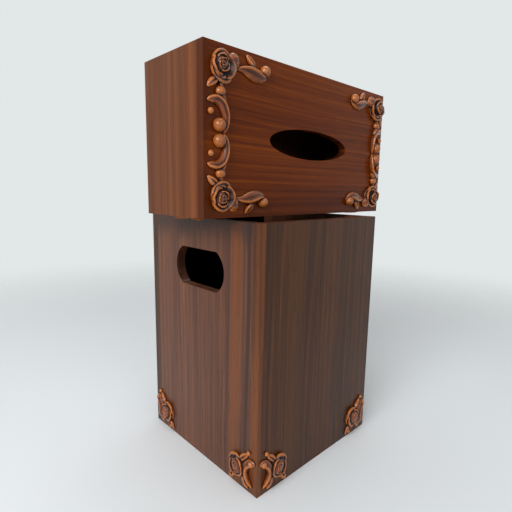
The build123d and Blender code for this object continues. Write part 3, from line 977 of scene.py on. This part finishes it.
upright = Matrix(((1, 0, 0, 0), (0, 0, -1, 0), (0, 1, 0, 0), (0, 0, 0, 1)))   # faces a carving forwards
to_slot_face = Matrix.Translation((slot_low.x + inset_x * mm, slot_low.y, slot_low.z + inset_z * mm))
to_slot_face @= upright


def mirrored(middle, x=1, y=1, z=1):
    """The matrix that mirrors about a place wherever an axis is given -1."""
    place = Matrix.Translation(middle)
    return place @ Matrix.Diagonal((x, y, z, 1)) @ place.inverted()


def set_four(master, kind, place):
    """Four copies of a carving on the tissue box, mirrored about its middle."""
    for level, up in (("lower", 1), ("upper", -1)):
        for end, across in (("left", 1), ("right", -1)):
            turn = mirrored(box_middle, x=across, z=up) @ place
            set_carving(master, f"{kind}_{level}_{end}", "tissue_box", turn)
    bpy.data.objects.remove(master)


set_four(slot_corner, "slot_ornament", to_slot_face)

# ---------------------------------------------------------------- the long sides' flat sprays
# Flatter carving, 3.5 mm high, because the box stands on the lower two: a rose, one long leaf that
# rests on the bin's rim, and smaller leaves that reach towards the box's end.

spray_inset = 28.0
spray_shape = carve("spray", [
    wound_petals(7, 9.0, 2.6, 2.4, 3.4, 110),
    ball(0, 0, 8, 1.8, 0.1),
    drawn_lines(
        (leaf_cut, ((1, 0, 4.5, 3.2), (10, 0.8, 6.6, 3.5), (22, 0.4, 6.0, 3.5), (34, 0, 2.0, 3.3))),
        (leaf_cut, ((-2, -3, 3.0, 3.0), (-9, -8, 4.4, 3.4), (-17, -9.5, 3.4, 3.4), (-24, -8, 1.4, 3.2))),
        (leaf_cut, ((-2, 2, 3.0, 3.0), (-8, 9, 4.8, 3.4), (-16, 17, 5.0, 3.4), (-25, 24, 1.6, 3.2))),
        (leaf_cut, ((2, -4, 2.0, 2.8), (9, -10, 3.0, 3.2), (15, -13.6, 2.6, 3.2), (22, -17, 1.0, 2.8))),
    ),
])
box_under = slot_low.z
to_box_under = Matrix.Translation((slot_low.x + spray_inset * mm, (slot_low.y + end_high.y) / 2, box_under))
to_box_under @= Matrix(((1, 0, 0, 0), (0, -1, 0, 0), (0, 0, -1, 0), (0, 0, 0, 1)))
set_four(spray_shape, "spray", to_box_under)

# ---------------------------------------------------------------- the bin's eight foot ornaments
# Smaller carvings of the same kind, 6.5 mm high, glued on both sides of each lower corner: a rose,
# and a crescent that opens to the corner from its bead.

foot_rose_place = (26.0, 22.0)
foot_corner = carve("foot_corner", [
    wound_petals(3, 12.2, 10.8, 3.8, 4.6, 70, (0.8, -1.2), 0.88, 1.02),
    wound_petals(4, 8.8, 3.2, 5.2, 6.6, 150, (-1.0, -0.4), 0.9, 1.04),
    ball(0.4, -0.8, 11.2, 4.0, 0.1),
    ball(-1.4, -0.4, 8.4, 6.0, 0.1),
    drawn_lines(
        (scroll_cut, (
            (-24.4, 10.8, 2.6, 2.8), (-19, 10.2, 3.9, 4.2), (-13.8, 6.4, 4.1, 4.8), (-11.6, 0, 3.8, 4.8),
            (-12.6, -6.4, 3.7, 4.6), (-15.8, -11.6, 3.3, 4.2), (-20.4, -15.4, 1.8, 3.0))),
        (leaf_cut, (
            (-4.5, 6.5, 2.8, 4.4), (-8.0, 10.5, 3.4, 3.8), (-11.5, 14, 3.0, 3.2), (-14.6, 17.4, 1.6, 2.4))),
        (leaf_cut, ((2, -8, 2.8, 4.2), (5.5, -12, 3.2, 3.8), (9, -15.4, 2.6, 3.0), (12.6, -19, 1.2, 2.0))),
        (leaf_cut, (
            (-7.5, -8, 2.4, 3.6), (-9.6, -12.4, 3.0, 3.6), (-12.4, -16, 2.4, 3.0),
            (-15.4, -18.4, 1.2, 2.2))),
    ),
    ball(-19.2, 9.4, 3.1, 4.5),
    ball(-15.6, 18.4, 2.2, 3.2),
    ball(7.4, -15.2, 2.8, 4.0),
])
foot_x, foot_z = foot_rose_place
on_front_wall = Matrix.Translation((foot_x * mm - half_bin, -half_bin, foot_z * mm))
on_front_wall @= upright
on_left_wall = Matrix(((0, 1, 0, 0), (1, 0, 0, 0), (0, 0, 1, 0), (0, 0, 0, 1))) @ on_front_wall
for near_x, x in (("left", 1), ("right", -1)):
    for near_y, y in (("front", 1), ("back", -1)):
        corner = mirrored((0, 0, 0), x, y)
        set_carving(foot_corner, f"foot_ornament_{near_x}_{near_y}", "bin", corner @ on_left_wall)
        set_carving(foot_corner, f"foot_ornament_{near_y}_{near_x}", "bin", corner @ on_front_wall)
bpy.data.objects.remove(foot_corner)

# ---------------------------------------------------------------- camera, floor and light
# The camera stands where the photograph was taken. The floor is plain and pale and fades into a pale
# backdrop. A large soft lamp shines from the left as a window does, a weaker one from the front and
# one from above.

camera_place = Vector((-0.311669, -0.317905, 0.277234))
camera_right = Vector((0.72726438, -0.68618269, 0.01548667))
camera_up = Vector((0.1017359, 0.13008624, 0.98626942))
camera_back = Vector((-0.67877561, -0.71570307, 0.1644165))
lens = bpy.data.cameras.new("camera")
lens.sensor_width = 36.0
lens.lens = 28.042
lens.clip_start = 0.01
camera = bpy.data.objects.new("camera", lens)
bpy.context.collection.objects.link(camera)
turn = Matrix((camera_right, camera_up, camera_back)).transposed()
camera.matrix_world = Matrix.Translation(camera_place) @ turn.to_4x4()
bpy.context.scene.camera = camera

floor_reach = 4.0
fade_span = (0.45, 1.25)        # where the floor starts and ends to fade
floor_mesh = bpy.data.meshes.new("floor")
floor_corners = [(-floor_reach, -floor_reach, 0), (floor_reach, -floor_reach, 0),
                 (floor_reach, floor_reach, 0), (-floor_reach, floor_reach, 0)]
floor_mesh.from_pydata(floor_corners, [], [(0, 1, 2, 3)])
floor = bpy.data.objects.new("floor", floor_mesh)
bpy.context.collection.objects.link(floor)
floor_material, floor_tree, floor_shader = new_material(
    "pale_floor", Base_Color=(0.9, 0.935, 0.95, 1), Roughness=0.8, Specular_IOR_Level=0.1)
floor_mesh.materials.append(floor_material)
# far from the set the floor fades into the backdrop, so that no horizon shows
floor_place = node_with(floor_tree, "ShaderNodeTexCoord").outputs["Object"]
floor_away = node_with(floor_tree, "ShaderNodeVectorMath", (("operation", "LENGTH"),))
floor_tree.links.new(floor_place, floor_away.inputs[0])
floor_fade = between(floor_tree, floor_away.outputs["Value"], *fade_span)
floor_clear = node_with(floor_tree, "ShaderNodeBsdfTransparent")
floor_mix = node_with(floor_tree, "ShaderNodeMixShader", Fac=floor_fade)
floor_tree.links.new(floor_shader.outputs[0], floor_mix.inputs[1])
floor_tree.links.new(floor_clear.outputs[0], floor_mix.inputs[2])
floor_tree.links.new(floor_mix.outputs[0], floor_tree.nodes["Material Output"].inputs["Surface"])


def soft_lamp(name, place, target, side, power, colour):
    data = bpy.data.lights.new(name, "AREA")
    data.shape = "SQUARE"
    data.size = side
    data.energy = power
    data.color = colour
    lamp = bpy.data.objects.new(name, data)
    lamp.location = place
    lamp.rotation_euler = (Vector(target) - Vector(place)).to_track_quat("-Z", "Y").to_euler()
    bpy.context.collection.objects.link(lamp)


soft_lamp("window", (-1.7, -0.5, 1.0), (0, 0, 0.25), 1.2, 32, (0.96, 0.98, 1.0))
soft_lamp("fill", (-0.4, -2.0, 1.0), (0, 0, 0.2), 1.4, 10, (1.0, 0.98, 0.96))
soft_lamp("overhead", (0.2, 0.3, 2.3), (0, 0, 0), 1.8, 20, (1.0, 1.0, 1.0))

world = bpy.data.worlds.new("studio")
world.use_nodes = True
studio = world.node_tree.nodes["Background"]
studio.inputs["Color"].default_value = (0.86, 0.89, 0.9, 1)
studio.inputs["Strength"].default_value = 0.14
backdrop = node_with(world.node_tree, "ShaderNodeBackground", Color=(0.76, 0.8, 0.8, 1), Strength=1.0)
ray = node_with(world.node_tree, "ShaderNodeLightPath").outputs
seen = math_node(world.node_tree, "MAXIMUM", ray["Is Camera Ray"], ray["Is Glossy Ray"])
seen = math_node(world.node_tree, "MAXIMUM", seen, ray["Is Transmission Ray"])
backdrop_mix = node_with(world.node_tree, "ShaderNodeMixShader", Fac=seen)
world.node_tree.links.new(studio.outputs[0], backdrop_mix.inputs[1])
world.node_tree.links.new(backdrop.outputs[0], backdrop_mix.inputs[2])
world.node_tree.links.new(backdrop_mix.outputs[0], world.node_tree.nodes["World Output"].inputs["Surface"])
bpy.context.scene.world = world
bpy.context.scene.view_settings.view_transform = "Standard"
